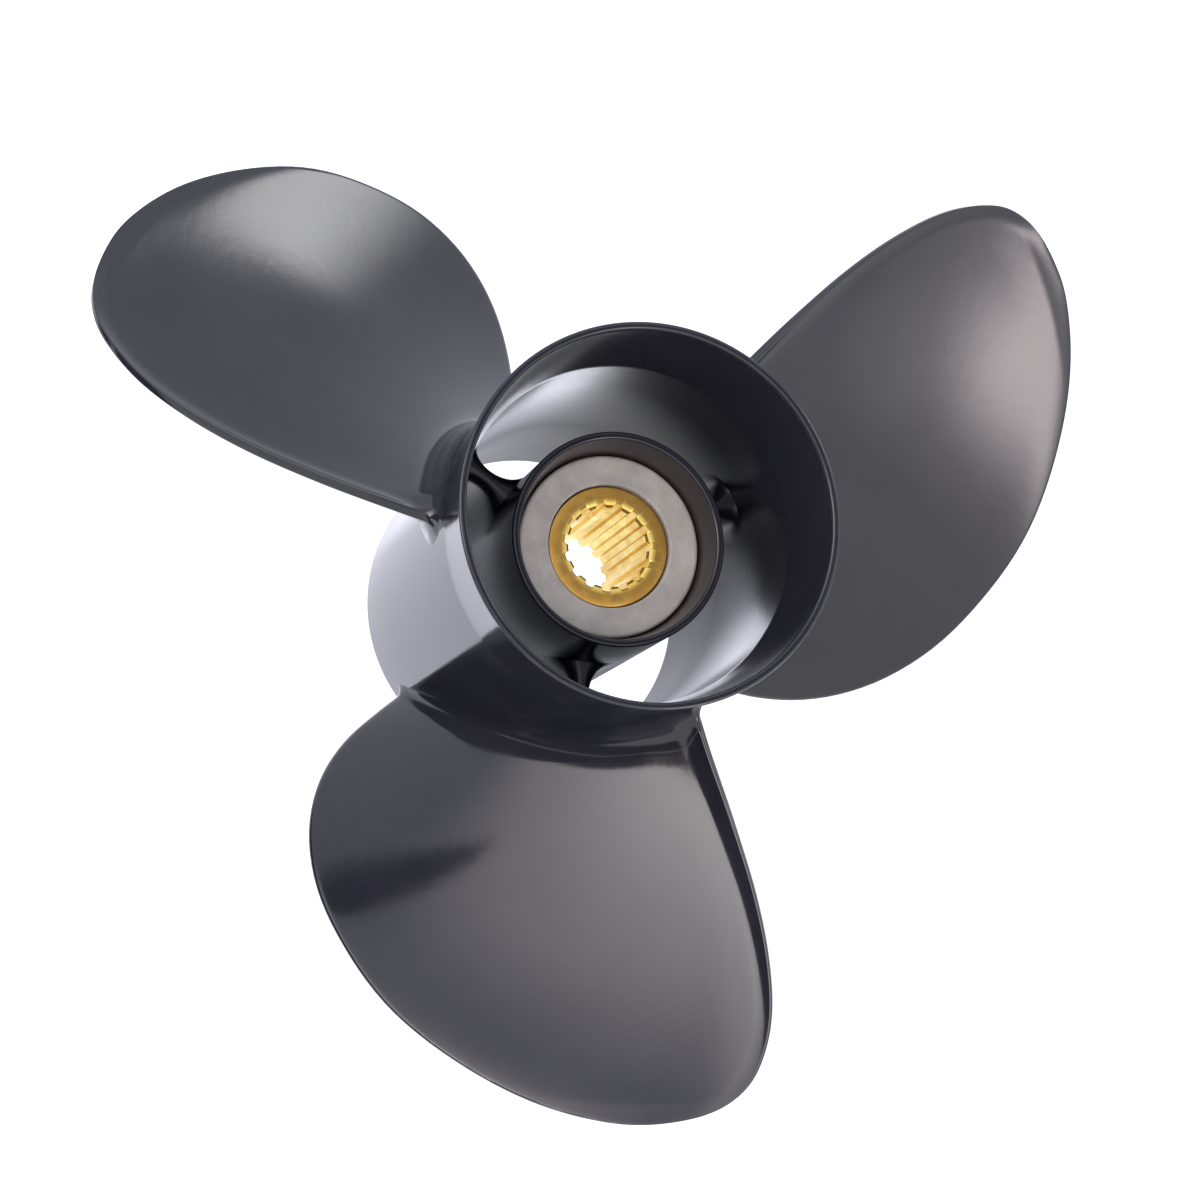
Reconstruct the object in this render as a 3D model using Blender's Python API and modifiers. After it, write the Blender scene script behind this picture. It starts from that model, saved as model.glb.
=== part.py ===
"""Outboard propeller: a cast body with three blades, a rubber bush and a splined brass sleeve.

The shaft axis is the Y axis. +Y is forward, towards the gearcase, and -Y is aft.
The origin is on the shaft axis, at the sleeve's forward thrust face.
"""

import math

import bmesh
import bpy
from mathutils import Matrix, Vector

MM = 0.001
INCH = 25.4

# Driving sizes, in millimetres and degrees.
DIAMETER = 13.25 * INCH
PITCH = 17.5 * INCH
BLADES = 3
FIRST_BLADE_ANGLE = 139.0
RAKE = 0.283
RAKE_GROWTH = 0.049
BLADE_LINE_Y = -9.7

BARREL_FRONT_Y = 54.0
BARREL_BACK_Y = -99.0
BARREL_FRONT_RADIUS = 53.4
BARREL_RADIUS = 52.0
BARREL_BORE_RADIUS = 48.6
BARREL_FRONT_BORE_RADIUS = 50.8
BORE_STRAIGHT_Y = -1.0
FLARE_START_Y = -69.0
FLARE_RADIUS = 55.3
FLARE_BORE_RADIUS = 53.6
THROAT_RADIUS = 49.8
THROAT_Y = -71.0

HUB_RADIUS = 32.0
HUB_BORE_RADIUS = 27.7
HUB_MOUTH_RADIUS = 29.8
HUB_FRONT_Y = 26.0
HUB_BACK_Y = -64.2

FIRST_RIB_ANGLE = 145.0
RIB_THICKNESS = 6.0
RIB_FRONT_Y = 24.0
RIB_BACK_Y = -35.0
RIB_CORNER = math.radians(15)
RIB_STEPS = 10

BUSH_RADIUS = 27.4
BUSH_FRONT_Y = 7.0
BUSH_BACK_Y = -53.4

SLEEVE_RADIUS = 18.2
SLEEVE_BACK_Y = -52.0
SPLINE_TEETH = 15
SPLINE_TIP_RADIUS = 12.0
SPLINE_ROOT_RADIUS = 13.4
SPLINE_GROOVE_WIDTH = 2.7
FIRST_GROOVE_ANGLE = 4.0

FIT_GAP = 0.3
EDGE_CHAMFER = 0.8
WALL_OVERLAP = 1.5

BLADE_ROOT_THICKNESS = 15.0
BLADE_TIP_THICKNESS = 4.5
BLADE_EDGE_THICKNESS = 3.0
BLADE_ROOT_RADIUS = 51.2
TRAILING_FILLET = 13.5
LEADING_FILLET = 5.0
EDGE_FILLET = 6.5
EDGE_FILLET_SHARE = 0.03
CUP_WIDTH = 15.0
CUP_DEPTH = 1.1
LIP_WIDTH = 4.6
LIP_DEPTH = 1.9
LIP_STEPS = 44
LIP_PAST_TIP = 10

# The blade's outline, root to tip: radius in mm, and degrees ahead of the blade's own line.
LEADING_EDGE = ((BLADE_ROOT_RADIUS, 42.5), (66, 42), (80, 41), (95, 38.2), (110, 33.5), (124, 27.2),
                (136, 20), (147, 12.5), (156, 4.2), (163, -3.4), (167, -9.7), (DIAMETER / 2, -13.6))
TRAILING_EDGE = ((BLADE_ROOT_RADIUS, -38), (68, -35.4), (90, -33.3), (110, -31.6), (128, -29.7),
                 (144, -27.4), (156, -24.6), (162.5, -22), (166.8, -18.6), (DIAMETER / 2, -13.6))

BARREL_SEGMENTS = 96
HUB_SEGMENTS = 72
SPAN_STEPS = 24
CHORD_STEPS = 12


def clear_scene():
    for item in list(bpy.data.objects):
        bpy.data.objects.remove(item, do_unlink=True)


def make_collection(name):
    collection = bpy.data.collections.new(name)
    bpy.context.scene.collection.children.link(collection)
    return collection


def make_material(name, color, roughness, metallic):
    material = bpy.data.materials.new(name)
    material.use_nodes = True
    shader = material.node_tree.nodes["Principled BSDF"]
    shader.inputs["Base Color"].default_value = (*color, 1.0)
    shader.inputs["Roughness"].default_value = roughness
    shader.inputs["Metallic"].default_value = metallic
    return material


def add_object(name, mesh, collection, material=None):
    item = bpy.data.objects.new(name, mesh)
    collection.objects.link(item)
    if material:
        mesh.materials.append(material)
    return item


def hide_tool(item):
    item.hide_render = True
    item.display_type = "WIRE"


def turned(name, profile, segments, collection, material=None):
    """A solid of revolution about Y from a closed profile of (radius, y) in mm."""
    mesh = bpy.data.meshes.new(name)
    points = [(radius * MM, 0.0, y * MM) for radius, y in profile]
    edges = [(i, (i + 1) % len(points)) for i in range(len(points))]
    mesh.from_pydata(points, edges, [])
    item = add_object(name, mesh, collection, material)
    item.rotation_euler = (-math.pi / 2, 0.0, 0.0)
    screw = item.modifiers.new("turn", "SCREW")
    screw.axis = "Z"
    screw.angle = 2 * math.pi
    screw.steps = segments
    screw.render_steps = segments
    screw.use_merge_vertices = True
    screw.merge_threshold = 0.00001
    screw.use_smooth_shade = True
    return item


def flare(steps):
    """Outer points of the aft ring, which leaves the barrel's line smoothly and opens to the rim."""
    points = []
    for i in range(steps):
        t = i / steps
        radius = BARREL_RADIUS + (FLARE_RADIUS - BARREL_RADIUS) * t ** 1.5
        points.append((radius, FLARE_START_Y + (BARREL_BACK_Y - FLARE_START_Y) * t))
    return points


def barrel_profile():
    """The outer barrel, from its front rim down its outer side to the flared ring and back inside."""
    front = [(BARREL_FRONT_BORE_RADIUS + EDGE_CHAMFER, BARREL_FRONT_Y),
             (BARREL_FRONT_RADIUS, BARREL_FRONT_Y - 2 * EDGE_CHAMFER)]
    rim = [(FLARE_RADIUS, BARREL_BACK_Y + EDGE_CHAMFER), (FLARE_RADIUS - EDGE_CHAMFER, BARREL_BACK_Y),
           (FLARE_BORE_RADIUS, BARREL_BACK_Y)]
    inside = [(THROAT_RADIUS, THROAT_Y), (BARREL_BORE_RADIUS, BORE_STRAIGHT_Y),
              (BARREL_FRONT_BORE_RADIUS, BARREL_FRONT_Y)]
    return front + flare(5) + rim + inside


def hub_profile():
    """The inner tube, from its front face down its outer side and back up through the bore."""
    return [(HUB_RADIUS - EDGE_CHAMFER, HUB_FRONT_Y), (HUB_RADIUS, HUB_FRONT_Y - EDGE_CHAMFER),
            (HUB_RADIUS, HUB_BACK_Y + EDGE_CHAMFER), (HUB_RADIUS - EDGE_CHAMFER, HUB_BACK_Y),
            (HUB_MOUTH_RADIUS, HUB_BACK_Y), (HUB_BORE_RADIUS, BUSH_BACK_Y + 1.0),
            (HUB_BORE_RADIUS, HUB_FRONT_Y)]


def ring_profile(outer, inner, front, back, chamfer):
    return [(outer - chamfer, front), (outer, front - chamfer), (outer, back + chamfer),
            (outer - chamfer, back), (inner + chamfer, back), (inner, back + chamfer),
            (inner, front - chamfer), (inner + chamfer, front)]


def edge_point(points, after_tip, t):
    """A smooth curve through the outline's points, from the root to the tip, heading on to after_tip."""
    place = t * (len(points) - 1)
    i = min(int(place), len(points) - 2)
    f = place - i
    path = (points[0],) + points + (after_tip,)
    a, b, c, d = [Vector(point) for point in path[i:i + 4]]
    return 0.5 * (2 * b + (c - a) * f + (2 * a - 5 * b + 4 * c - d) * f * f
                  + (3 * b - a - 3 * c + d) * f ** 3)


def leading_point(t):
    return edge_point(LEADING_EDGE, TRAILING_EDGE[-2], t)


def trailing_point(t):
    return edge_point(TRAILING_EDGE, LEADING_EDGE[-2], t)


def planform(u, v):
    """Radius, angle and chord on the blade: u runs from trailing to leading edge, v from root to tip."""
    lead = leading_point(v)
    trail = trailing_point(v)
    radius, angle = trail.lerp(lead, u)
    return radius, angle, math.radians(lead.y - trail.y) * radius


def lip_line():
    """The outline that the lip follows: (radius, angle, share of the full depth), to just past the tip."""
    line = [(*trailing_point(i / LIP_STEPS), 1.0) for i in range(LIP_STEPS + 1)]
    for i in range(1, LIP_PAST_TIP + 1):
        line.append((*leading_point(1 - i / LIP_STEPS), 1 - i / LIP_PAST_TIP))
    return line


def edge_drop(radius, angle):
    """How far the cup and the lip bend the blade aft, from the way to the nearest point of the lip line."""
    tilt = math.atan(PITCH / (2 * math.pi * radius))
    per_degree = math.radians(radius) / math.cos(tilt)
    line = [Vector((r - radius, (a - angle) * per_degree, share)) for r, a, share in LIP_LINE]
    nearest, share = LIP_WIDTH + CUP_WIDTH, 0
    for start, end in zip(line, line[1:]):
        along = (end - start).xy
        t = min(max(-start.xy.dot(along) / along.length_squared, 0), 1)
        point = start.lerp(end, t)
        if point.xy.length < nearest:
            nearest, share = point.xy.length, point.z
    cup = CUP_DEPTH * max(1 - nearest / CUP_WIDTH, 0) ** 2
    lip = LIP_DEPTH * max(1 - nearest / LIP_WIDTH, 0) ** 2
    return share * (cup + lip)


def half_thickness(u, radius, chord):
    """Half of the section's thickness, thickest at mid chord and rounded at both edges."""
    span = max(radius - BARREL_RADIUS, 0) / (DIAMETER / 2 - BARREL_RADIUS)
    middle = BLADE_ROOT_THICKNESS + (BLADE_TIP_THICKNESS - BLADE_ROOT_THICKNESS) * span ** 0.7
    crown = (4 * u * (1 - u)) ** 0.9
    thickness = BLADE_EDGE_THICKNESS + (middle - BLADE_EDGE_THICKNESS) * crown
    edge = min(u, 1 - u) * max(chord, 0)
    rounding = min(edge / (BLADE_EDGE_THICKNESS / 2), 1)
    return thickness / 2 * math.sqrt(1 - (1 - rounding) ** 2)


def unrolled_point(u, v, side):
    """Distance around the shaft, y and radius. side is -1 on the driving face, +1 on the back."""
    radius, angle, chord = planform(u, v)
    out = radius - BLADE_ROOT_RADIUS
    y = BLADE_LINE_Y - RAKE * out - RAKE_GROWTH * out * out / 100 + PITCH * angle / 360
    y -= edge_drop(radius, angle)
    half = side * half_thickness(u, radius, chord)
    tilt = math.atan(PITCH / (2 * math.pi * radius))
    return Vector((radius * math.radians(angle) - half * math.sin(tilt), y + half * math.cos(tilt), radius))


def wall_radius(y):
    """The barrel's outer radius, which grows a little from the flare to the front rim."""
    t = (y - FLARE_START_Y) / (BARREL_FRONT_Y - FLARE_START_Y)
    return BARREL_RADIUS + (BARREL_FRONT_RADIUS - BARREL_RADIUS) * max(t, 0)


def root_fillet(u, radius, y):
    """How far the fillet stands out from the blade's side; it is smaller round the trailing edge itself."""
    size = TRAILING_FILLET + (LEADING_FILLET - TRAILING_FILLET) * u
    size -= (TRAILING_FILLET - EDGE_FILLET) * max(1 - u / EDGE_FILLET_SHARE, 0) ** 2
    rise = size - max(radius - wall_radius(y), 0)
    if rise <= 0:
        return 0
    return size - math.sqrt(size ** 2 - rise ** 2)


def rolled(point):
    """A point on the unrolled section put back around the shaft, in metres."""
    turn = point.x / point.z
    return Vector((point.z * math.cos(turn), point.y, -point.z * math.sin(turn))) * MM


def section(stations, v):
    """One closed section of the blade, widened near the barrel by the root fillet."""
    around = stations + stations[-2:0:-1]
    flat = [unrolled_point(u, v, -1 if i < len(stations) else 1) for i, u in enumerate(around)]
    points = []
    for i, (u, point) in enumerate(zip(around, flat)):
        along = flat[(i + 1) % len(flat)] - flat[i - 1]
        outward = Vector((along.y, -along.x, 0))
        if outward.length > 0:
            outward.normalize()
        points.append(rolled(point + outward * root_fillet(u, point.z, point.y)))
    return points


def chord_stations():
    """Places across the chord, closer together at both edges."""
    middle = [0.5 - 0.5 * math.cos(math.pi * i / CHORD_STEPS) for i in range(1, CHORD_STEPS)]
    return [0.0, 0.005, middle[0], 0.035] + middle[1:] + [0.995, 1.0]


def close_root(shape, loop, stations):
    """Strips across the root with a middle row, so that it follows the barrel's wall."""
    width = len(stations)
    face = loop[:width]
    back = [face[0]] + list(reversed(loop[width:])) + [face[-1]]
    spine = [shape.verts.new(rolled(unrolled_point(u, 0, 0))) for u in stations[1:-1]]
    spine = [face[0]] + spine + [face[-1]]
    for row, other in ((face, spine), (spine, back)):
        for i in range(width - 1):
            corners = (row[i], other[i], other[i + 1], row[i + 1])
            shape.faces.new(sorted(set(corners), key=corners.index))


def blade_mesh():
    """One blade as a loft of closed sections from inside the barrel wall to the tip."""
    shape = bmesh.new()
    stations = chord_stations()
    loops = []
    for step in range(SPAN_STEPS):
        v = 1 - (1 - step / SPAN_STEPS) ** 1.15
        loops.append([shape.verts.new(point) for point in section(stations, v)])
    count = len(loops[0])
    for lower, upper in zip(loops, loops[1:]):
        for i in range(count):
            j = (i + 1) % count
            shape.faces.new((lower[i], lower[j], upper[j], upper[i]))
    tip = shape.verts.new(rolled(unrolled_point(0.5, 1.0, 0)))
    for i in range(count):
        shape.faces.new((loops[-1][i], loops[-1][(i + 1) % count], tip))
    close_root(shape, loops[0], stations)
    bmesh.ops.recalc_face_normals(shape, faces=shape.faces)
    mesh = bpy.data.meshes.new("blade")
    shape.to_mesh(mesh)
    shape.free()
    mesh.shade_smooth()
    return mesh


def add_blades(tools):
    mesh = blade_mesh()
    blades = []
    for i in range(BLADES):
        blade = add_object(f"blade_tool_{i + 1}", mesh, tools)
        blade.rotation_euler = (0.0, -spoke_angle(FIRST_BLADE_ANGLE, i), 0.0)
        hide_tool(blade)
        blades.append(blade)
    return blades


def spoke_angle(first, i):
    return math.radians(first + i * 360 / BLADES)


def rib_outline():
    """Radius and distance around the shaft of a rib's section, which gives each passage round ends."""
    end = (BARREL_BORE_RADIUS - HUB_RADIUS) / 2
    middle = (BARREL_BORE_RADIUS + HUB_RADIUS) / 2
    corner = RIB_THICKNESS / 2 + end * (1 - math.sin(RIB_CORNER))
    side = [(HUB_RADIUS - WALL_OVERLAP, corner)]
    for i in range(RIB_STEPS + 1):
        turn = RIB_CORNER + (math.pi - 2 * RIB_CORNER) * i / RIB_STEPS
        side.append((middle - end * math.cos(turn), RIB_THICKNESS / 2 + end * (1 - math.sin(turn))))
    side.append((BARREL_BORE_RADIUS + WALL_OVERLAP, corner))
    return side + [(radius, -around) for radius, around in reversed(side)]


def add_ribs(tools):
    """Waisted ribs nearly in line with the blades, which carry the inner tube in the barrel."""
    shape = bmesh.new()
    corners = [rolled(Vector((around, RIB_BACK_Y, radius))) for radius, around in rib_outline()]
    face = shape.faces.new([shape.verts.new(corner) for corner in corners])
    moved = [item for item in bmesh.ops.extrude_face_region(shape, geom=[face])["geom"]
             if isinstance(item, bmesh.types.BMVert)]
    bmesh.ops.translate(shape, vec=(0, (RIB_FRONT_Y - RIB_BACK_Y) * MM, 0), verts=moved)
    bmesh.ops.recalc_face_normals(shape, faces=shape.faces)
    mesh = bpy.data.meshes.new("rib")
    shape.to_mesh(mesh)
    shape.free()
    ribs = []
    for i in range(BLADES):
        rib = add_object(f"rib_tool_{i + 1}", mesh, tools)
        rib.rotation_euler = (0.0, -spoke_angle(FIRST_RIB_ANGLE, i), 0.0)
        hide_tool(rib)
        ribs.append(rib)
    return ribs


def combine(target, tool, operation):
    cut = target.modifiers.new(tool.name, "BOOLEAN")
    cut.operation = operation
    cut.object = tool
    cut.solver = "EXACT"


def add_casting(parts, tools):
    """The one-piece casting: outer barrel, inner tube, ribs and blades."""
    paint = make_material("gloss_black_paint", (0.055, 0.055, 0.068), 0.28, 0.0)
    casting = turned("propeller_casting", barrel_profile(), BARREL_SEGMENTS, parts, paint)
    tube = turned("hub_tube_tool", hub_profile(), HUB_SEGMENTS, tools)
    hide_tool(tube)
    for tool in [tube] + add_ribs(tools) + add_blades(tools):
        combine(casting, tool, "UNION")
    return casting


def add_bush(parts):
    rubber = make_material("grey_rubber", (0.36, 0.35, 0.36), 0.6, 0.0)
    profile = ring_profile(BUSH_RADIUS, SLEEVE_RADIUS + FIT_GAP, BUSH_FRONT_Y, BUSH_BACK_Y, EDGE_CHAMFER)
    return turned("rubber_bush", profile, HUB_SEGMENTS, parts, rubber)


def spline_cutter(tools):
    """The spline's grooves, as one mesh of separate blocks around the bore."""
    shape = bmesh.new()
    depth = SPLINE_ROOT_RADIUS - SPLINE_TIP_RADIUS + 1.0
    middle = SPLINE_ROOT_RADIUS - depth / 2
    length = abs(SLEEVE_BACK_Y) + 10.0
    for i in range(SPLINE_TEETH):
        turn = Matrix.Rotation(2 * math.pi * i / SPLINE_TEETH - math.radians(FIRST_GROOVE_ANGLE), 4, "Y")
        block = bmesh.ops.create_cube(shape, size=1.0)["verts"]
        bmesh.ops.scale(shape, vec=(depth * MM, length * MM, SPLINE_GROOVE_WIDTH * MM), verts=block)
        bmesh.ops.translate(shape, vec=(middle * MM, SLEEVE_BACK_Y / 2 * MM, 0), verts=block)
        bmesh.ops.transform(shape, matrix=turn, verts=block)
    mesh = bpy.data.meshes.new("spline_cutter")
    shape.to_mesh(mesh)
    shape.free()
    cutter = add_object("spline_cutter", mesh, tools)
    hide_tool(cutter)
    return cutter


def add_sleeve(parts, tools):
    brass = make_material("brass", (0.62, 0.40, 0.10), 0.3, 1.0)
    profile = ring_profile(SLEEVE_RADIUS, SPLINE_TIP_RADIUS, 0.0, SLEEVE_BACK_Y, EDGE_CHAMFER)
    sleeve = turned("splined_sleeve", profile, HUB_SEGMENTS, parts, brass)
    combine(sleeve, spline_cutter(tools), "DIFFERENCE")
    return sleeve


LIP_LINE = lip_line()


def main():
    clear_scene()
    parts = make_collection("outboard_propeller")
    tools = make_collection("cutters")
    add_casting(parts, tools)
    add_bush(parts)
    add_sleeve(parts, tools)


main()
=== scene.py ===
import functools
import math

import bmesh
import bpy
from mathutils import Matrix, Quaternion, Vector


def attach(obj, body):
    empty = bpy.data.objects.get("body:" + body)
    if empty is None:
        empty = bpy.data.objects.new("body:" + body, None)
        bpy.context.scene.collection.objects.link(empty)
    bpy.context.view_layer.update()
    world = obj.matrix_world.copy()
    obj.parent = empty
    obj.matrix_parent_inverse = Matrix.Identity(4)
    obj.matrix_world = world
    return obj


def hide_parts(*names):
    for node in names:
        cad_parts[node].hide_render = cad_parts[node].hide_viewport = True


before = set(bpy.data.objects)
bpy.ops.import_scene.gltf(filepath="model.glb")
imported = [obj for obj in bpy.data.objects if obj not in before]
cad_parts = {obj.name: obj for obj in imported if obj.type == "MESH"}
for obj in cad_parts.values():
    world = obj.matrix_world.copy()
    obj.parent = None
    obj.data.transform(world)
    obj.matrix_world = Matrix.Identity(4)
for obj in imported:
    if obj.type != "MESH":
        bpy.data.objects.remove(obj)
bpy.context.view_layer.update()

# Driving sizes, in mm and degrees. The shaft runs along Y, and the front is at the larger Y.
MM = 0.001
INCH = 25.4
DIAMETER = 13.25 * INCH
PITCH = 17.5 * INCH
BLADES = 3
FIRST_BLADE_ANGLE = 139.0
FIRST_RIB_ANGLE = 145.0

# The blade's outline, root to tip: radius, and degrees ahead of the blade's own line. Both edges follow
# the CAD model's, and the share keeps the smooth curve through them inside its box.
RAKE = 0.283
RAKE_GROWTH = 0.049
BLADE_LINE_Y = -9.7
ROOT_RADIUS = 51.2
TIP_RADIUS = 167.6
TIP_ANGLE = -13.8
LEADING_EDGE = ((ROOT_RADIUS, 42.5), (66, 42), (80, 41), (95, 38.2), (110, 33.5), (124, 27.2),
                (136, 20), (147, 12.5), (156, 4.2), (163, -3.4), (166.8, -9.7), (TIP_RADIUS, TIP_ANGLE))
TRAILING_EDGE = ((ROOT_RADIUS, -38), (68, -35.4), (90, -33.3), (110, -31.6), (128, -29.7),
                 (144, -27.4), (156, -24.6), (162.5, -22), (166.3, -18.6), (TIP_RADIUS, TIP_ANGLE))
OUTLINE_SHARE = 0.9975

# The blade's thickness. Where the chord is under THIN_CHORD, the blade is thinner in proportion.
ROOT_THICKNESS = 15.0
TIP_THICKNESS = 4.5
TRAILING_THICKNESS = 2.9
LEADING_THICKNESS = 3.0
TRAILING_CORNER = 0.55
LEADING_ROUND = 2.4
THIN_CHORD = 60.0
TAPER_POWER = 0.7
CROWN_POWER = 0.9

# Fillets at the blade's root. The back's are a share of the driving face's.
TRAILING_FILLET = 13.0
LEADING_FILLET = 3.0
EDGE_FILLET = 7.0
EDGE_FILLET_SHARE = 0.05
BACK_FILLET_SHARE = 0.6

# The cup and the lip along the trailing edge. The lip line's steps are shorter than LIP_SEGMENT.
CUP_WIDTH, CUP_DEPTH = 15.0, 1.1
LIP_WIDTH, LIP_DEPTH = 4.6, 1.9
LIP_STEPS = 66
LIP_FADE_START = 40
LIP_PAST_TIP = 20
LIP_FADE_OUT = 16
TIP_LIP_SHARE = 0.2
LIP_SEGMENT = 5.0

# Barrel, hub and ribs. Where the flare starts, the barrel's wall is 1 mm further out than the CAD model's.
FRONT_Y, BACK_Y = 54.0, -99.0
MIDDLE_Y = 19.0
NECK_Y = -69.0
BARREL_RADIUS = 53.0
FRONT_RADIUS = 53.4
FLARE_RADIUS = 55.3
FLARE_BORE = 53.0
FLARE_POWER = 1.2
THROAT_RADIUS, THROAT_Y = 49.8, -71.0
BELL_POWER = 1.5
BORE_RADIUS, BORE_Y = 48.6, -1.0
FRONT_BORE = 50.8
HUB_RADIUS, HUB_BORE, HUB_MOUTH = 32.0, 27.7, 29.8
HUB_FRONT_Y, HUB_BACK_Y = 26.0, -64.2
RIB_THICKNESS = 6.0
RIB_FRONT_Y, RIB_BACK_Y = 24.0, -35.0
RIB_EDGE = 4.2
RIB_RUN_OUT = 12.0
WALL_OVERLAP = 1.0

# Bush and sleeve.
BUSH_RADIUS, BUSH_BORE = 27.4, 18.5
BUSH_FRONT_Y, BUSH_BACK_Y = 7.0, -53.4
BUSH_RECESS_OUTER, BUSH_RECESS_INNER, BUSH_RECESS_DEPTH = 24.5, 21.0, 0.5
SLEEVE_RADIUS, SLEEVE_BACK_Y = 18.2, -52.0
SLEEVE_CHAMFER = 0.7
MOUTH_DEPTH, MOUTH_MARGIN = 0.3, 0.35
SPLINE_TEETH = 15
SPLINE_TIP, SPLINE_ROOT = 12.0, 13.4
FIRST_GROOVE_ANGLE = 4.0

# Half of a spline groove: degrees from its middle, and the share of its depth.
GROOVE = ((0.0, 1), (2.2, 1), (4.0, 1), (4.7, 0.94), (5.3, 0.8), (6.6, 0.2), (7.2, 0.06),
          (7.9, 0), (9.9, 0))

# How finely the meshes are cut. Stations are in mm: along the root's chord from either edge, outwards from
# the blade's inner end, and from either end of a rib.
BARREL_SEGMENTS, HUB_SEGMENTS, BUSH_SEGMENTS = 240, 180, 160
ROOT_CHORD = 130.0
TRAILING_STATIONS = (0, 0.05, 0.12, 0.2, 0.3, 0.42, 0.55, 0.75, 1.0, 1.6, 2.3, 3.1, 3.9, 4.6, 5.4, 6.6,
                     8.2, 10.2, 12.6, 15.4)
LEADING_STATIONS = (0, 0.05, 0.12, 0.35, 0.7, 1.2, 1.6, 2.0, 2.4, 3.4, 5.6, 8.6, 12.4)
CHORD_STEPS = 26
SPAN_LENGTH = 163.0
WALL_STATIONS = (0, 1.2, 1.8, 2.0, 2.15, 2.3, 2.5, 2.75, 3.1, 3.6, 4.3, 5.2, 6.3, 7.6, 9.2, 11.0)
OUTER_START = 0.075
SPAN_STEPS = 60
SPAN_POWER = 1.25
RIB_STEPS = 24
RIB_STATIONS = (0.05, 0.25, 0.6, 1.2, 2.0, 3.0, 4.2, 5.6, 7.4, 9.6, 12.0)
FLARE_STEPS = 14
BELL_STEPS = 12

# Colours, each as its main value and the one that its patches drift to.
PAINT = ((0.012, 0.0122, 0.0178), (0.018, 0.018, 0.0255))
# Painted reflection: the brown that the brass sleeve's warm light would give the hub's inner wall.
HUB_BRASS_REFLECTION = (0.035, 0.021, 0.017)
RUBBER = ((0.335, 0.312, 0.285), (0.465, 0.437, 0.395))
# Painted light: the faces' darker brass is painted shade, and the bore's lighter brass a painted highlight.
BRASS_FACE_PAINTED_SHADE = ((0.60, 0.355, 0.085), (0.45, 0.24, 0.045))
BRASS_BORE_PAINTED_HIGHLIGHT = ((0.93, 0.73, 0.21), (0.85, 0.57, 0.11))

# Studio, in metres and degrees, with the lens and its sensor in mm. Directions are as in towards().
FLOOR_Z = -0.6
FLOOR_RADIUS = 2.6
FLOOR_COLOR = (0.3, 0.3, 0.3)
FLOOR_GLOW = 3.1
CARD_COLOR = (0.02, 0.02, 0.02)
BACKDROP_COLOR = (1.0, 1.015, 1.14)
CAMERA_FACING = (-15.29, -10.63)
CAMERA_DISTANCE = 0.79893
CAMERA_TARGET = (0.0086, -0.011, -0.00818)
CAMERA_LENS = 77.217
SENSOR_WIDTH = 36.0
LIGHT_DISTANCE = 2.6

# Brighter spots of the backdrop: longitude, latitude, cosines of its edge and its core, gain.
BACKDROP_SPOTS = ((172.0, 4.0, 0.80, 0.92, 0.25), (153.0, -14.0, 0.955, 0.985, 1.1),
                  (-178.0, 27.0, 0.975, 0.99, 0.7))

# Black cards: name, facing direction, distance, and the directions of the corners.
CARDS = (("left_card", (-95.0, 0.0), 1.6,
          ((-63.0, -2.0), (-69.0, 6.0), (-74.0, 11.0), (-79.0, 16.0), (-82.0, 21.0), (-85.0, 26.0),
           (-88.0, 31.0), (-92.0, 37.0), (-98.0, 43.0), (-128.0, 43.0), (-128.0, -46.0), (-63.0, -46.0))),
         ("floor_card", (-95.0, -90.0), 0.59,
          ((-60.0, -20.0), (-132.0, -20.0), (-132.0, -46.0), (-60.0, -46.0))),
         ("camera_card", (15.0, 10.0), 1.7,
          ((5.0, 1.0), (5.0, 20.0), (25.0, 20.0), (25.0, 1.0))))


# Meshes

def new_object(name, shape, sharp=35.0):
    bmesh.ops.recalc_face_normals(shape, faces=shape.faces)
    mesh = bpy.data.meshes.new(name)
    shape.to_mesh(mesh)
    shape.free()
    mesh.shade_smooth()
    mesh.set_sharp_from_angle(angle=math.radians(sharp))
    item = bpy.data.objects.new(name, mesh)
    bpy.context.scene.collection.objects.link(item)
    return item


def ease(x):
    x = min(max(x, 0.0), 1.0)
    return x * x * (3 - 2 * x)


def arc(t):
    """The height of a quarter circle over the share t of its width, from 0 to 1."""
    return math.sqrt(1 - (1 - min(t, 1)) ** 2)


def rounded(points, steps=6):
    """A closed profile from (radius, y, corner radius), with each corner turned into an arc."""
    result = []
    count = len(points)
    for i, (r, y, corner) in enumerate(points):
        here = Vector((r, y))
        before = Vector(points[i - 1][:2]) - here
        after = Vector(points[(i + 1) % count][:2]) - here
        if corner <= 0:
            result.append((r, y))
            continue
        cut = min(corner, before.length * 0.49, after.length * 0.49)
        a = here + before.normalized() * cut
        b = here + after.normalized() * cut
        for k in range(steps + 1):
            t = k / steps
            p = a * (1 - t) ** 2 + here * 2 * t * (1 - t) + b * t * t
            result.append((p.x, p.y))
    return result


def bridge(shape, rings, closed=True):
    pairs = list(zip(rings, rings[1:]))
    if closed:
        pairs.append((rings[-1], rings[0]))
    for low, high in pairs:
        for i in range(len(low)):
            j = (i + 1) % len(low)
            shape.faces.new((low[i], low[j], high[j], high[i]))


def turned_vertex(shape, radius, y, angle):
    """A vertex from mm and radians about the shaft."""
    return shape.verts.new((radius * math.cos(angle) * MM, y * MM, radius * math.sin(angle) * MM))


def lathe(shape, profile, segments):
    rings = []
    for r, y in profile:
        rings.append([turned_vertex(shape, r, y, 2 * math.pi * i / segments) for i in range(segments)])
    bridge(shape, rings)


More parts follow.
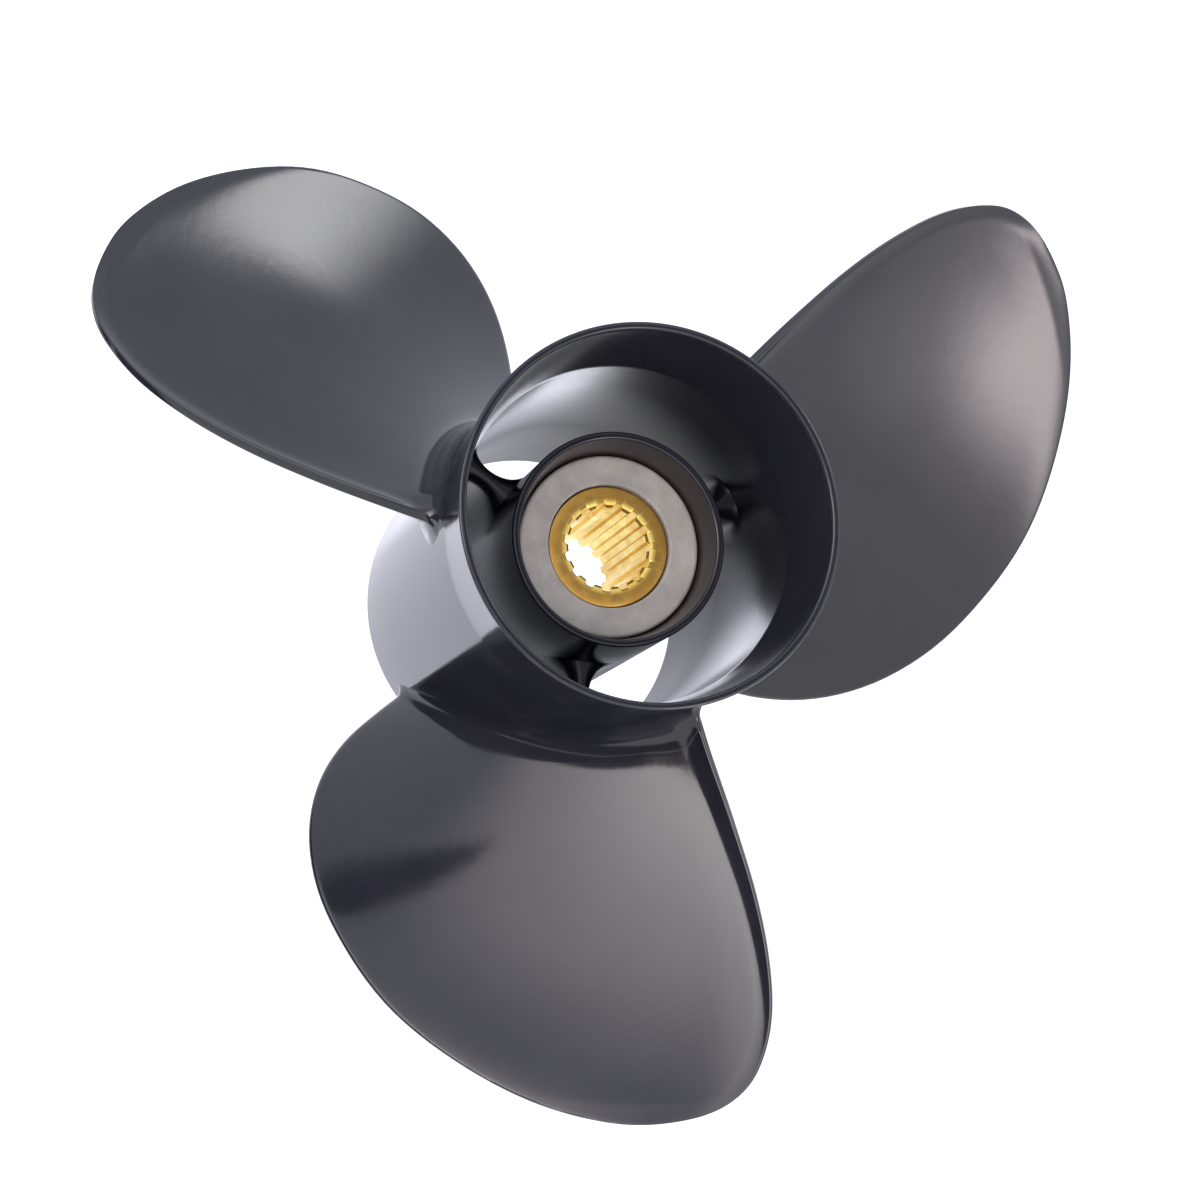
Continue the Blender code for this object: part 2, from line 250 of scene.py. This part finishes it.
def edge_point(points, after_tip, t):
    """A smooth curve through the outline's points, from the root to the tip, heading on to after_tip."""
    place = t * (len(points) - 1)
    i = min(int(place), len(points) - 2)
    f = place - i
    path = (points[0],) + points + (after_tip,)
    a, b, c, d = [Vector(point) for point in path[i:i + 4]]
    return 0.5 * (2 * b + (c - a) * f + (2 * a - 5 * b + 4 * c - d) * f * f
                  + (3 * b - a - 3 * c + d) * f ** 3)


def leading_point(t):
    return edge_point(LEADING_EDGE, TRAILING_EDGE[-2], t)


def trailing_point(t):
    return edge_point(TRAILING_EDGE, LEADING_EDGE[-2], t)


def wall_radius(y):
    """The barrel's outer radius ahead of the flare."""
    t = (y - NECK_Y) / (FRONT_Y - NECK_Y)
    return BARREL_RADIUS + (FRONT_RADIUS - BARREL_RADIUS) * max(t, 0)


def planform(u, v):
    """Radius, angle and chord at the share u of the chord and v of the span."""
    lead = leading_point(v)
    trail = trailing_point(v)
    radius, angle = trail.lerp(lead, u)
    radius *= OUTLINE_SHARE
    return radius, angle, max(math.radians(lead.y - trail.y) * radius, 0)


@functools.cache
def lip_line():
    """The outline that the lip follows: (radius, angle, share of the full depth), to just past the tip."""
    line = []
    for i in range(LIP_STEPS + 1):
        fade = ease((i - LIP_FADE_START) / (LIP_STEPS - LIP_FADE_START))
        line.append((*trailing_point(i / LIP_STEPS), 1 - (1 - TIP_LIP_SHARE) * fade))
    for i in range(1, LIP_PAST_TIP + 1):
        line.append((*leading_point(1 - i / LIP_STEPS), TIP_LIP_SHARE * (1 - ease(i / LIP_FADE_OUT))))
    return line


@functools.cache
def edge_drop(radius, angle):
    """How far the cup and the lip bend the blade aft, from the way to the nearest point of the lip line."""
    per_degree = math.radians(radius) / math.cos(math.atan(PITCH / (2 * math.pi * radius)))
    nearest, share = CUP_WIDTH, 0.0
    line = lip_line()
    for (r, a, s), (r2, a2, s2) in zip(line, line[1:]):
        x, y = r - radius, (a - angle) * per_degree
        if abs(x) > CUP_WIDTH + LIP_SEGMENT:
            continue
        dx, dy = r2 - r, (a2 - a) * per_degree
        t = min(max(-(x * dx + y * dy) / (dx * dx + dy * dy), 0.0), 1.0)
        distance = math.hypot(x + dx * t, y + dy * t)
        if distance < nearest:
            nearest, share = distance, s + (s2 - s) * t
    cup = CUP_DEPTH * (1 - nearest / CUP_WIDTH) ** 2
    lip = LIP_DEPTH * max(1 - nearest / LIP_WIDTH, 0) ** 2
    return share * (cup + lip)


def half_thickness(u, radius, chord):
    """Half of the section's thickness, with a blunt trailing edge and a round leading edge."""
    span = max(radius - BARREL_RADIUS, 0) / (DIAMETER / 2 - BARREL_RADIUS)
    middle = ROOT_THICKNESS + (TIP_THICKNESS - ROOT_THICKNESS) * span ** TAPER_POWER
    edge = TRAILING_THICKNESS + (LEADING_THICKNESS - TRAILING_THICKNESS) * ease(u)
    crown = min(chord / THIN_CHORD, 1) * (4 * u * (1 - u)) ** CROWN_POWER
    full = edge + (middle - edge) * crown
    round_off = TRAILING_CORNER * (1 - arc(u * chord / TRAILING_CORNER))
    return (full / 2 - round_off) * arc((1 - u) * chord / LEADING_ROUND)


def unrolled(u, v, side):
    """Distance around the shaft, y and radius: side -1 is the driving face, +1 the back."""
    radius, angle, chord = planform(u, v)
    out = radius - ROOT_RADIUS
    y = BLADE_LINE_Y - RAKE * out - RAKE_GROWTH * out * out / 100 + PITCH * angle / 360
    y -= edge_drop(radius, angle)
    half = side * half_thickness(u, radius, chord)
    tilt = math.atan(PITCH / (2 * math.pi * radius))
    around = radius * math.radians(angle)
    return Vector((around - half * math.sin(tilt), y + half * math.cos(tilt), radius))


def fillet_size(u):
    """Smaller towards the leading edge, and round the trailing edge itself."""
    size = TRAILING_FILLET + (LEADING_FILLET - TRAILING_FILLET) * u
    return size - (TRAILING_FILLET - EDGE_FILLET) * max(1 - u / EDGE_FILLET_SHARE, 0) ** 2


def root_fillet(u, radius, y, share):
    """How far the fillet stands out from the blade's side."""
    size = fillet_size(u) * share
    rise = size - max(radius - wall_radius(y), 0)
    if rise <= 0:
        return 0
    return size - math.sqrt(max(size * size - rise * rise, 0))


def chord_stations():
    """Shares of the chord from the trailing to the leading edge, closer together near both."""
    trailing = [s / ROOT_CHORD for s in TRAILING_STATIONS]
    leading = [1 - s / ROOT_CHORD for s in LEADING_STATIONS]
    start, end = trailing[-1], leading[-1]
    middle = [start + (end - start) * i / CHORD_STEPS for i in range(1, CHORD_STEPS)]
    return trailing + middle + leading[::-1]


def span_stations():
    """Shares of the span from the root to just short of the tip, closer together at the wall."""
    root = [out / SPAN_LENGTH for out in WALL_STATIONS]
    outer = [1 - (1 - i / SPAN_STEPS) ** SPAN_POWER for i in range(SPAN_STEPS)]
    return root + [OUTER_START + (1 - OUTER_START) * share for share in outer]


def blade_section(stations, v):
    """The unrolled points around the blade at the share v of the span, with the root's fillet."""
    face = [(u, unrolled(u, v, -1)) for u in stations]
    back = [(u, unrolled(u, v, 1)) for u in reversed(stations[:-1])]
    flat = face + back
    points = []
    for i, (u, point) in enumerate(flat):
        share = 1.0 if i < len(face) else BACK_FILLET_SHARE
        along = flat[(i + 1) % len(flat)][1] - flat[i - 1][1]
        outward = Vector((along.y, -along.x, 0))
        if outward.length > 0:
            outward.normalize()
        points.append(point + outward * root_fillet(u, point.z, point.y, share))
    return points


def placed(shape, point, spoke):
    """A vertex for a point of the unrolled blade or rib, rolled up and turned to its own spoke."""
    turn = point.x / point.z
    p = Vector((point.z * math.cos(turn), point.y, -point.z * math.sin(turn))) * MM
    x = p.x * math.cos(spoke) - p.z * math.sin(spoke)
    z = p.x * math.sin(spoke) + p.z * math.cos(spoke)
    return shape.verts.new((x, p.y, z))


def close_root(shape, ring, section, spoke):
    """Strips across the root, so that its inner end follows the barrel's wall."""
    half = len(ring) // 2
    rows = [[ring[i] for i in range(1, half)]]
    for share in (0.25, 0.5, 0.75):
        across = [section[i].lerp(section[-1 - i], share) for i in range(1, half)]
        rows.append([placed(shape, point, spoke) for point in across])
    rows.append([ring[-1 - i] for i in range(1, half)])
    for row, other in zip(rows, rows[1:]):
        for i in range(len(row) - 1):
            shape.faces.new((row[i], row[i + 1], other[i + 1], other[i]))
        shape.faces.new((row[-1], ring[half], other[-1]))
    shape.faces.new([ring[0]] + [row[0] for row in rows] + [ring[-1]])


def add_blade(shape, spoke):
    stations = chord_stations()
    rings = []
    for v in span_stations():
        rings.append([placed(shape, point, spoke) for point in blade_section(stations, v)])
    bridge(shape, rings, closed=False)
    shape.faces.new(rings[-1])
    close_root(shape, rings[0], blade_section(stations, 0.0), spoke)


def bore_radius(y):
    """The barrel's inner radius, from its throat to its front rim."""
    if y < BORE_Y:
        return BORE_RADIUS + (THROAT_RADIUS - BORE_RADIUS) * (BORE_Y - y) / (BORE_Y - THROAT_Y)
    return BORE_RADIUS + (FRONT_BORE - BORE_RADIUS) * (y - BORE_Y) / (FRONT_Y - BORE_Y)


def rib_outline(y, web, fillet):
    """A rib's section at y: web is the share of its thickness there, fillet that of its fillets."""
    outer = bore_radius(y)
    end = (outer - HUB_RADIUS) / 2
    half = RIB_THICKNESS / 2 * web
    side = []
    for i in range(RIB_STEPS + 1):
        turn = math.pi * i / RIB_STEPS
        around = half + end * fillet * (1 - math.sin(turn))
        side.append((HUB_RADIUS + end * (1 - math.cos(turn)), around))
    inner_end = (HUB_RADIUS - WALL_OVERLAP, side[0][1])
    outer_end = (outer + WALL_OVERLAP, side[-1][1])
    side = [inner_end] + side + [outer_end]
    return side + [(radius, -around) for radius, around in reversed(side)]


def rib_stations():
    """(y, web, fillet) along a rib, whose fore and aft edges are rounded and run out into the walls."""
    shares = [(s, arc(s / RIB_EDGE), arc(s / RIB_RUN_OUT)) for s in RIB_STATIONS]
    back = [(RIB_BACK_Y + s, web, fillet) for s, web, fillet in shares]
    return back + [(RIB_FRONT_Y - s, web, fillet) for s, web, fillet in reversed(shares)]


def add_rib(shape, spoke):
    rings = []
    for y, web, fillet in rib_stations():
        points = [Vector((around, y, radius)) for radius, around in rib_outline(y, web, fillet)]
        rings.append([placed(shape, point, spoke) for point in points])
    bridge(shape, rings, closed=False)
    shape.faces.new(rings[0])
    shape.faces.new(rings[-1])


def barrel_profile():
    """(radius, y) round the barrel's wall: outside to the flare, then back along the bell and the bore."""
    outer = [(FRONT_BORE, FRONT_Y, 0.5), (FRONT_RADIUS - 0.7, FRONT_Y, 0.6),
             (FRONT_RADIUS, FRONT_Y - 2.0, 1.2), (wall_radius(MIDDLE_Y), MIDDLE_Y, 0),
             (BARREL_RADIUS, NECK_Y, 3.0)]
    flare = []
    for i in range(1, FLARE_STEPS):
        t = i / FLARE_STEPS
        flare.append((BARREL_RADIUS + (FLARE_RADIUS - BARREL_RADIUS) * t ** FLARE_POWER,
                      NECK_Y + (BACK_Y - NECK_Y) * t, 0))
    rim = [(FLARE_RADIUS, BACK_Y, 0.9), (FLARE_BORE, BACK_Y, 0.9)]
    bell = []
    for i in range(1, BELL_STEPS + 1):
        t = 1 - i / BELL_STEPS
        bell.append((THROAT_RADIUS + (FLARE_BORE - THROAT_RADIUS) * (1 - (1 - t) ** BELL_POWER),
                     THROAT_Y + (BACK_Y - THROAT_Y) * t, 0 if t > 0 else 2.0))
    return rounded(outer + flare + rim + bell + [(BORE_RADIUS, BORE_Y, 40.0)])


def hub_profile():
    return rounded([(HUB_BORE, HUB_FRONT_Y, 0.8), (HUB_RADIUS, HUB_FRONT_Y, 0.9),
                    (HUB_RADIUS, HUB_BACK_Y, 0.8), (HUB_MOUTH, HUB_BACK_Y, 0.7),
                    (HUB_BORE, BUSH_BACK_Y + 1.0, 2.0)])


def make_casting():
    shape = bmesh.new()
    lathe(shape, barrel_profile(), BARREL_SEGMENTS)
    lathe(shape, hub_profile(), HUB_SEGMENTS)
    for i in range(BLADES):
        add_rib(shape, math.radians(FIRST_RIB_ANGLE + i * 360 / BLADES))
        add_blade(shape, math.radians(FIRST_BLADE_ANGLE + i * 360 / BLADES))
    return new_object("casting_body", shape)


def make_bush():
    shape = bmesh.new()
    recess_y = BUSH_BACK_Y + BUSH_RECESS_DEPTH
    profile = rounded([(BUSH_BORE, BUSH_FRONT_Y, 0.8), (BUSH_RADIUS, BUSH_FRONT_Y, 0.8),
                       (BUSH_RADIUS, BUSH_BACK_Y + 0.2, 1.4), (BUSH_RECESS_OUTER, recess_y, 2.0),
                       (BUSH_RECESS_INNER, recess_y, 2.0), (BUSH_BORE, BUSH_BACK_Y, 0.8)])
    lathe(shape, profile, BUSH_SEGMENTS)
    return new_object("bush_body", shape)


def spline_bore():
    """(angle, radius) points around the splined bore."""
    points = []
    pitch = 360 / SPLINE_TEETH
    for i in range(SPLINE_TEETH):
        groove = FIRST_GROOVE_ANGLE + i * pitch
        for offset, depth in GROOVE[:0:-1]:
            points.append((groove - offset, SPLINE_TIP + (SPLINE_ROOT - SPLINE_TIP) * depth))
        for offset, depth in GROOVE:
            points.append((groove + offset, SPLINE_TIP + (SPLINE_ROOT - SPLINE_TIP) * depth))
        points.append((groove + pitch / 2, SPLINE_TIP))
    return points


def make_sleeve():
    shape = bmesh.new()
    bore = spline_bore()

    def ring(y, radius=None, least=0.0):
        """A ring at one radius, or along the splines but nowhere inside the least radius."""
        made = []
        for angle, spline_radius in bore:
            r = radius if radius else max(spline_radius, least)
            made.append(turned_vertex(shape, r, y, math.radians(angle)))
        return made

    back, chamfer, mouth = SLEEVE_BACK_Y, SLEEVE_CHAMFER, MOUTH_DEPTH
    mouth_radius = SPLINE_ROOT + MOUTH_MARGIN
    rings = [ring(-chamfer, SLEEVE_RADIUS), ring(back + chamfer, SLEEVE_RADIUS),
             ring(back + 0.25 * chamfer, SLEEVE_RADIUS - 0.25 * chamfer),
             ring(back, SLEEVE_RADIUS - chamfer), ring(back, mouth_radius),
             ring(back + mouth, least=SPLINE_TIP + chamfer), ring(back + mouth + chamfer),
             ring(back * 0.75), ring(back * 0.5), ring(back * 0.25), ring(-chamfer - mouth),
             ring(-mouth, least=SPLINE_TIP + chamfer), ring(0, mouth_radius),
             ring(0, SLEEVE_RADIUS - chamfer)]
    bridge(shape, rings)
    return new_object("sleeve_body", shape, sharp=28.0)


# Materials

def ramp(tree, value, low, high, to_low, to_high, curve="LINEAR"):
    node = tree.nodes.new("ShaderNodeMapRange")
    node.interpolation_type = curve
    for name, number in zip(("From Min", "From Max", "To Min", "To Max"), (low, high, to_low, to_high)):
        node.inputs[name].default_value = number
    tree.links.new(value, node.inputs["Value"])
    return node.outputs["Result"]


def calculate(tree, operation, a, b=0.0):
    node = tree.nodes.new("ShaderNodeMath")
    node.operation = operation
    for socket, value in zip(node.inputs, (a, b)):
        if isinstance(value, (int, float)):
            socket.default_value = value
        else:
            tree.links.new(value, socket)
    return node.outputs["Value"]


class Nodes:
    """A few short calls for building a material's node tree."""

    def __init__(self, name):
        self.material = bpy.data.materials.new(name)
        self.material.use_nodes = True
        self.tree = self.material.node_tree
        self.shader = self.tree.nodes["Principled BSDF"]

    def add(self, kind, **values):
        node = self.tree.nodes.new(kind)
        for key, value in values.items():
            if key in node.inputs:
                node.inputs[key].default_value = value
            else:
                setattr(node, key, value)
        return node

    def link(self, a, b):
        self.tree.links.new(a, b)

    def coordinates(self):
        return self.add("ShaderNodeTexCoord").outputs["Object"]

    def noise(self, scale, detail=4.0, roughness=0.5):
        node = self.add("ShaderNodeTexNoise", Scale=scale, Detail=detail, Roughness=roughness)
        self.link(self.coordinates(), node.inputs["Vector"])
        return node.outputs["Fac"]

    def span(self, value, low, high, to_low, to_high):
        return ramp(self.tree, value, low, high, to_low, to_high)

    def mix(self, factor, a, b):
        node = self.add("ShaderNodeMix", data_type="RGBA")
        self.link(factor, node.inputs["Factor"])
        for socket, value in ((node.inputs["A"], a), (node.inputs["B"], b)):
            if isinstance(value, tuple):
                socket.default_value = (*value, 1.0)
            else:
                self.link(value, socket)
        return node.outputs["Result"]

    def math(self, operation, a, b=0.0):
        return calculate(self.tree, operation, a, b)

    def bump(self, height, strength, distance):
        node = self.add("ShaderNodeBump", Strength=strength, Distance=distance)
        self.link(height, node.inputs["Height"])
        return node.outputs["Normal"]

    def axis_places(self):
        """The distance from the shaft's axis, and y, both in metres."""
        split = self.add("ShaderNodeSeparateXYZ")
        self.link(self.coordinates(), split.inputs["Vector"])
        x, y, z = split.outputs
        squares = self.math("ADD", self.math("MULTIPLY", x, x), self.math("MULTIPLY", z, z))
        return self.math("SQRT", squares), y


def paint_material():
    """Gloss black paint, browner inside the hub as a painted reflection of the brass sleeve, and duller
    inside the barrel, towards its front.
    """
    n = Nodes("gloss_black_paint_detail")
    radius, y = n.axis_places()
    clouds = n.noise(28.0, 5.0, 0.55)
    grain = n.noise(900.0, 2.0)
    peel = n.noise(260.0, 2.0)
    base = n.mix(n.span(clouds, 0.3, 0.7, 0.0, 1.0), *PAINT)
    # Painted reflection of the brass sleeve: brown on the hub's inner wall, strongest at its aft end.
    reflection_in_hub = n.span(radius, 0.0275, 0.0302, 1.0, 0.0)
    inside = n.math("MULTIPLY", reflection_in_hub, n.span(y, -0.052, -0.050, 1.0, 0.4))
    base = n.mix(inside, base, HUB_BRASS_REFLECTION)
    n.link(base, n.shader.inputs["Base Color"])
    gloss = n.span(n.math("ADD", clouds, n.math("MULTIPLY", grain, 0.35)), 0.4, 0.95, 0.10, 0.15)
    wall = n.math("SUBTRACT", radius, n.span(y, -0.099, -0.071, 0.0541, 0.0509))
    within = n.span(wall, -0.0002, 0.0002, 1.0, 0.0)
    dull = n.math("MULTIPLY", within, n.span(y, -0.052, -0.004, 0.03, 0.34))
    n.link(n.math("ADD", gloss, dull), n.shader.inputs["Roughness"])
    height = n.math("ADD", peel, n.math("MULTIPLY", grain, 0.3))
    n.link(n.bump(height, 0.05, 0.0003), n.shader.inputs["Normal"])
    n.shader.inputs["IOR"].default_value = 1.5
    return n.material


def rubber_material():
    n = Nodes("grey_rubber_detail")
    patches = n.noise(160.0, 5.0, 0.6)
    fine = n.noise(1400.0, 3.0)
    color = n.mix(n.span(patches, 0.3, 0.7, 0.0, 1.0), *RUBBER)
    n.link(color, n.shader.inputs["Base Color"])
    n.link(n.span(fine, 0.3, 0.7, 0.5, 0.7), n.shader.inputs["Roughness"])
    height = n.math("ADD", n.math("MULTIPLY", patches, 0.8), fine)
    n.link(n.bump(height, 0.25, 0.0003), n.shader.inputs["Normal"])
    return n.material


def brass_material():
    """Brass with turning marks on its ends; the bore's lighter brass is a painted highlight, and the faces'
    darker brass painted shade.
    """
    n = Nodes("brass_detail")
    radius = n.axis_places()[0]
    stain = n.noise(120.0, 5.0, 0.6)
    turned = n.math("SINE", n.math("MULTIPLY", radius, 16000.0))
    # Lit and shaded copies of one brass: painted shade on the faces, a painted highlight in the bore.
    face = n.mix(n.span(stain, 0.3, 0.72, 0.0, 1.0), *BRASS_FACE_PAINTED_SHADE)
    bore = n.mix(n.span(stain, 0.3, 0.72, 0.0, 1.0), *BRASS_BORE_PAINTED_HIGHLIGHT)
    n.link(n.mix(n.span(radius, 0.0134, 0.0146, 0.0, 1.0), bore, face), n.shader.inputs["Base Color"])
    n.shader.inputs["Metallic"].default_value = 1.0
    n.link(n.span(stain, 0.3, 0.7, 0.24, 0.4), n.shader.inputs["Roughness"])
    n.link(n.bump(turned, 0.12, 0.00004), n.shader.inputs["Normal"])
    return n.material


def dress(piece, material, node):
    piece.data.materials.append(material)
    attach(piece, "root")
    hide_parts(node)


# Stage, camera and light

def towards(longitude, latitude, distance):
    """A place from the object: longitude from aft towards +X, and latitude above the level, in degrees."""
    a, b = math.radians(longitude), math.radians(latitude)
    return Vector((math.sin(a) * math.cos(b), -math.cos(a) * math.cos(b), math.sin(b))) * distance


def stage_material(name, color, strength=0.0):
    """A dull material that gives off its own color with the given strength."""
    material = bpy.data.materials.new(name)
    material.use_nodes = True
    shader = material.node_tree.nodes["Principled BSDF"]
    shader.inputs["Base Color"].default_value = (*color, 1.0)
    shader.inputs["Roughness"].default_value = 0.9
    shader.inputs["Emission Color"].default_value = (*color, 1.0)
    shader.inputs["Emission Strength"].default_value = strength
    return material


def flat_object(name, shape, material):
    mesh = bpy.data.meshes.new(name)
    shape.to_mesh(mesh)
    shape.free()
    mesh.materials.append(material)
    item = bpy.data.objects.new(name, mesh)
    bpy.context.scene.collection.objects.link(item)
    return item


def make_floor():
    """The pale floor. Its own glow hides the shadows that the black cards would leave on it."""
    shape = bmesh.new()
    bmesh.ops.create_circle(shape, cap_ends=True, segments=96, radius=FLOOR_RADIUS)
    floor = flat_object("floor", shape, stage_material("pale_floor", FLOOR_COLOR, FLOOR_GLOW))
    floor.location = (0.0, 0.0, FLOOR_Z)


def make_card(name, facing, distance, corners):
    """A black card of the studio, flat across the facing direction; its corners are directions too."""
    outward = towards(*facing, 1.0)
    shape = bmesh.new()
    points = []
    for corner in corners:
        way = towards(*corner, 1.0)
        points.append(shape.verts.new(way * distance / way.dot(outward)))
    shape.faces.new(points)
    card = flat_object(name, shape, stage_material(name, CARD_COLOR))
    card.visible_camera = False


def make_camera():
    back = towards(*CAMERA_FACING, 1.0)
    data = bpy.data.cameras.new("camera")
    data.lens = CAMERA_LENS
    data.sensor_width = SENSOR_WIDTH
    camera = bpy.data.objects.new("camera", data)
    camera.location = Vector(CAMERA_TARGET) + back * CAMERA_DISTANCE
    camera.rotation_mode = "QUATERNION"
    camera.rotation_quaternion = (-back).to_track_quat("-Z", "Y")
    bpy.context.scene.collection.objects.link(camera)
    bpy.context.scene.camera = camera


def make_world():
    """A white backdrop all round, with a few brighter spots ahead of the propeller."""
    scene = bpy.context.scene
    world = bpy.data.worlds.new("white_studio")
    world.use_nodes = True
    tree = world.node_tree
    background = tree.nodes["Background"]
    background.inputs["Color"].default_value = (*BACKDROP_COLOR, 1.0)
    place = tree.nodes.new("ShaderNodeTexCoord")
    strength = 1.0
    for longitude, latitude, low, high, gain in BACKDROP_SPOTS:
        facing = tree.nodes.new("ShaderNodeVectorMath")
        facing.operation = "DOT_PRODUCT"
        facing.inputs[1].default_value = towards(longitude, latitude, 1.0)
        tree.links.new(place.outputs["Generated"], facing.inputs[0])
        spot = ramp(tree, facing.outputs["Value"], low, high, 0.0, gain, "SMOOTHSTEP")
        strength = calculate(tree, "ADD", spot, strength)
    tree.links.new(strength, background.inputs["Strength"])
    scene.world = world
    scene.view_settings.view_transform = "Standard"
    scene.view_settings.look = "None"


def soft_edges(tree, across, up, soft):
    """Four shares that fall to nothing at a light's sides; soft is as in softbox()."""
    left, right, bottom, top = soft
    return [ramp(tree, across, 0.0, left, 0.0, 1.0, "SMOOTHSTEP"),
            ramp(tree, across, 1.0 - right, 1.0, 1.0, 0.0, "SMOOTHSTEP"),
            ramp(tree, up, 0.0, bottom, 0.0, 1.0, "SMOOTHSTEP"),
            ramp(tree, up, 1.0 - top, 1.0, 1.0, 0.0, "SMOOTHSTEP")]


def hot_spot(tree, places, sides, glow):
    """The share of the light that is left at some way from the glow's middle; glow is as in softbox()."""
    *spots, reach, steepness = glow
    squares = []
    for place, side, spot in zip(places, sides, spots):
        away = calculate(tree, "SUBTRACT", place, 0.5 + spot / side)
        away = calculate(tree, "MULTIPLY", away, side / reach)
        squares.append(calculate(tree, "MULTIPLY", away, away))
    fall = calculate(tree, "POWER", calculate(tree, "ADD", *squares), steepness)
    return calculate(tree, "DIVIDE", 1.0, calculate(tree, "ADD", fall, 1.0))


def softbox(name, place, aim, sides, turn, radiance, soft, glow=None, color=(1.0, 1.0, 1.0)):
    """A studio light of the given width and height.

    soft gives the soft edges at the left, right, bottom and top, as seen from behind the light, each as
    a share of the whole side. glow, if given, is (across, up, reach, steepness), the first three in
    metres: a hot spot from which the light falls off.
    """
    data = bpy.data.lights.new(name, "AREA")
    data.shape = "RECTANGLE"
    data.size, data.size_y = sides
    data.energy = radiance * sides[0] * sides[1] * math.pi
    data.color = color
    data.use_nodes = True
    tree = data.node_tree
    split = tree.nodes.new("ShaderNodeSeparateXYZ")
    geometry = tree.nodes.new("ShaderNodeNewGeometry")
    tree.links.new(geometry.outputs["Parametric"], split.inputs["Vector"])
    across, up = split.outputs[:2]
    shares = soft_edges(tree, across, up, soft)
    if glow:
        shares.append(hot_spot(tree, (across, up), sides, glow))
    strength = shares[0]
    for share in shares[1:]:
        strength = calculate(tree, "MULTIPLY", strength, share)
    tree.links.new(strength, tree.nodes["Emission"].inputs["Strength"])
    light = bpy.data.objects.new(name, data)
    light.location = place
    light.rotation_mode = "QUATERNION"
    facing = (Vector(aim) - Vector(place)).to_track_quat("-Z", "Y")
    light.rotation_quaternion = facing @ Quaternion((0.0, 0.0, 1.0), math.radians(turn))
    light.visible_camera = False
    bpy.context.scene.collection.objects.link(light)


def make_lights():
    """The right, left and low lights each show in one blade, and the fill light round the low one."""
    middle = (0.0, 0.0, 0.0)
    softbox("right_light", towards(75.4, 26.3, LIGHT_DISTANCE), middle, (0.9, 1.1), 0.0, 7.3,
            (0.2, 0.55, 0.68, 0.15))
    softbox("left_light", towards(-57.0, 24.0, LIGHT_DISTANCE), middle, (2.6, 3.4), 30.0, 7.0,
            (0.05, 0.3, 0.1, 0.3), glow=(-0.5, -1.0, 1.1, 1.0), color=(1.0, 0.92, 0.9))
    softbox("low_light", (0.282, -0.589, -0.388), (0.062, -0.039, -0.008), (0.50, 0.50), 0.0, 10.0,
            (0.1, 0.1, 0.1, 0.1), glow=(0.01, 0.0, 0.085, 2.1), color=(1.0, 0.87, 0.87))
    softbox("fill_light", (0.458, -0.478, -0.447), (0.238, 0.072, -0.067), (0.40, 0.40), 0.0, 0.8,
            (0.5, 0.5, 0.5, 0.5))


dress(make_casting(), paint_material(), "propeller_casting")
dress(make_bush(), rubber_material(), "rubber_bush")
dress(make_sleeve(), brass_material(), "splined_sleeve")
make_floor()
make_camera()
make_world()
make_lights()
for card in CARDS:
    make_card(*card)
